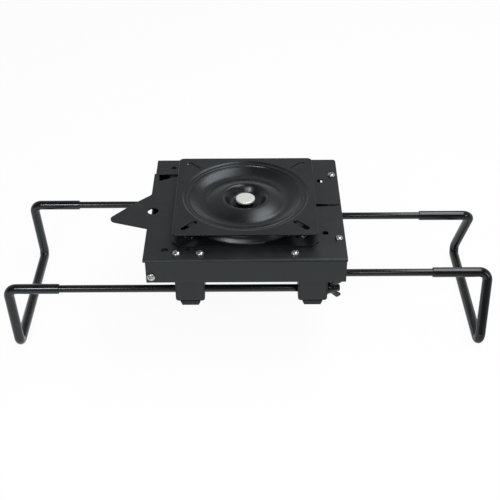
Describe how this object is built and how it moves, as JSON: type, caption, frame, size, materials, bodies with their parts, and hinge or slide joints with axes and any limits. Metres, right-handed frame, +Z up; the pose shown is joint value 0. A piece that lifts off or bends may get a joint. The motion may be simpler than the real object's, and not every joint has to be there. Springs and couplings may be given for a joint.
{
  "type": "swivel seat base",
  "caption": "Swivel base for a camper seat: dished ball-race turntable on a folded steel housing with tube rails, carried by sliding bent-rod frames that wing nuts draw in.",
  "frame": {"origin": "at the floor, midway between the two frames' ends; the swivel axis stands 5.5 mm toward -X of it", "axes": "+X toward the right frame, along the frames' travel; +Y to the rear; +Z up along the swivel axis"},
  "size_m": [0.6185, 0.2402, 0.1718],
  "materials": {
    "housing_paint": "satin black powder coat",
    "swivel_paint": "semi-gloss black paint on pressed steel",
    "rod_paint": "gloss black paint on steel rod",
    "sleeve_vinyl": "smooth black vinyl sleeve",
    "cap_plastic": "moulded black cap",
    "foot_rubber": "black rubber strip",
    "black_fastener": "black coated steel",
    "bright_zinc": "bright zinc plating",
    "pivot_zinc": "dull pale zinc plating",
    "washer_steel": "oiled dark steel",
    "ball_steel": "polished steel",
    "cage_brass": "stamped brass"
  },
  "bodies": {
    "base": {"deck_plate": "housing_paint", "left_side_wall": "housing_paint", "right_side_wall": "housing_paint", "front_cross_bar": "housing_paint", "rear_cross_bar": "housing_paint", "deck_screws": "bright_zinc", "deck_screw_nuts": "washer_steel", "left_rail": "housing_paint", "right_rail": "housing_paint", "rail_end_caps": "cap_plastic", "rail_bolts": "bright_zinc", "rail_bolt_nuts": "washer_steel", "left_foot_strip": "foot_rubber", "right_foot_strip": "foot_rubber", "foot_screws": "bright_zinc", "swivel_base_plate": "swivel_paint", "base_plate_bolts": "black_fastener", "base_plate_nuts": "washer_steel", "pivot_bolt": "pivot_zinc", "pivot_top_washer": "washer_steel", "pivot_hub_washer": "washer_steel", "pivot_nut": "bright_zinc"},
    "left_frame": {"left_frame_rod": "rod_paint", "left_frame_sleeve": "sleeve_vinyl", "left_frame_washers": "black_fastener"},
    "right_frame": {"right_frame_rod": "rod_paint", "right_frame_sleeve": "sleeve_vinyl", "right_frame_washers": "black_fastener"},
    "turntable": {"swivel_top_plate": "swivel_paint"},
    "ball_ring": {"bearing_balls": "ball_steel", "ball_cage": "cage_brass"},
    "left_front_nut": {"left_frame_front_nut": "black_fastener"},
    "left_rear_nut": {"left_frame_rear_nut": "black_fastener"},
    "right_front_nut": {"right_frame_front_nut": "black_fastener"},
    "right_rear_nut": {"right_frame_rear_nut": "black_fastener"}
  },
  "joints": [
    {"name": "seat_swivel", "type": "hinge", "parent": "base", "child": "turntable", "pos_m": [-0.0055, 0, 0.1656], "axis": [0, 0, 1], "continuous": true},
    {"name": "ball_ring_roll", "type": "hinge", "parent": "base", "child": "ball_ring", "pos_m": [-0.0055, 0, 0.1656], "axis": [0, 0, 1], "continuous": true},
    {"name": "left_frame_slide", "type": "slide", "parent": "base", "child": "left_frame", "axis": [1, 0, 0], "range_m": [0, 0.14]},
    {"name": "right_frame_slide", "type": "slide", "parent": "base", "child": "right_frame", "axis": [-1, 0, 0], "range_m": [0, 0.13]},
    {"name": "left_front_nut_turn", "type": "hinge", "parent": "left_frame", "child": "left_front_nut", "pos_m": [0.0978, -0.0943, 0.0934], "axis": [1, 0, 0], "continuous": true},
    {"name": "left_rear_nut_turn", "type": "hinge", "parent": "left_frame", "child": "left_rear_nut", "pos_m": [0.0978, 0.0943, 0.0934], "axis": [1, 0, 0], "continuous": true},
    {"name": "right_front_nut_turn", "type": "hinge", "parent": "right_frame", "child": "right_front_nut", "pos_m": [-0.0944, -0.064, 0.0934], "axis": [1, 0, 0], "continuous": true},
    {"name": "right_rear_nut_turn", "type": "hinge", "parent": "right_frame", "child": "right_rear_nut", "pos_m": [-0.0944, 0.064, 0.0934], "axis": [1, 0, 0], "continuous": true}
  ],
  "couplings": [
    {"joint": "ball_ring_roll", "follows": "seat_swivel", "ratio": 0.5}
  ]
}
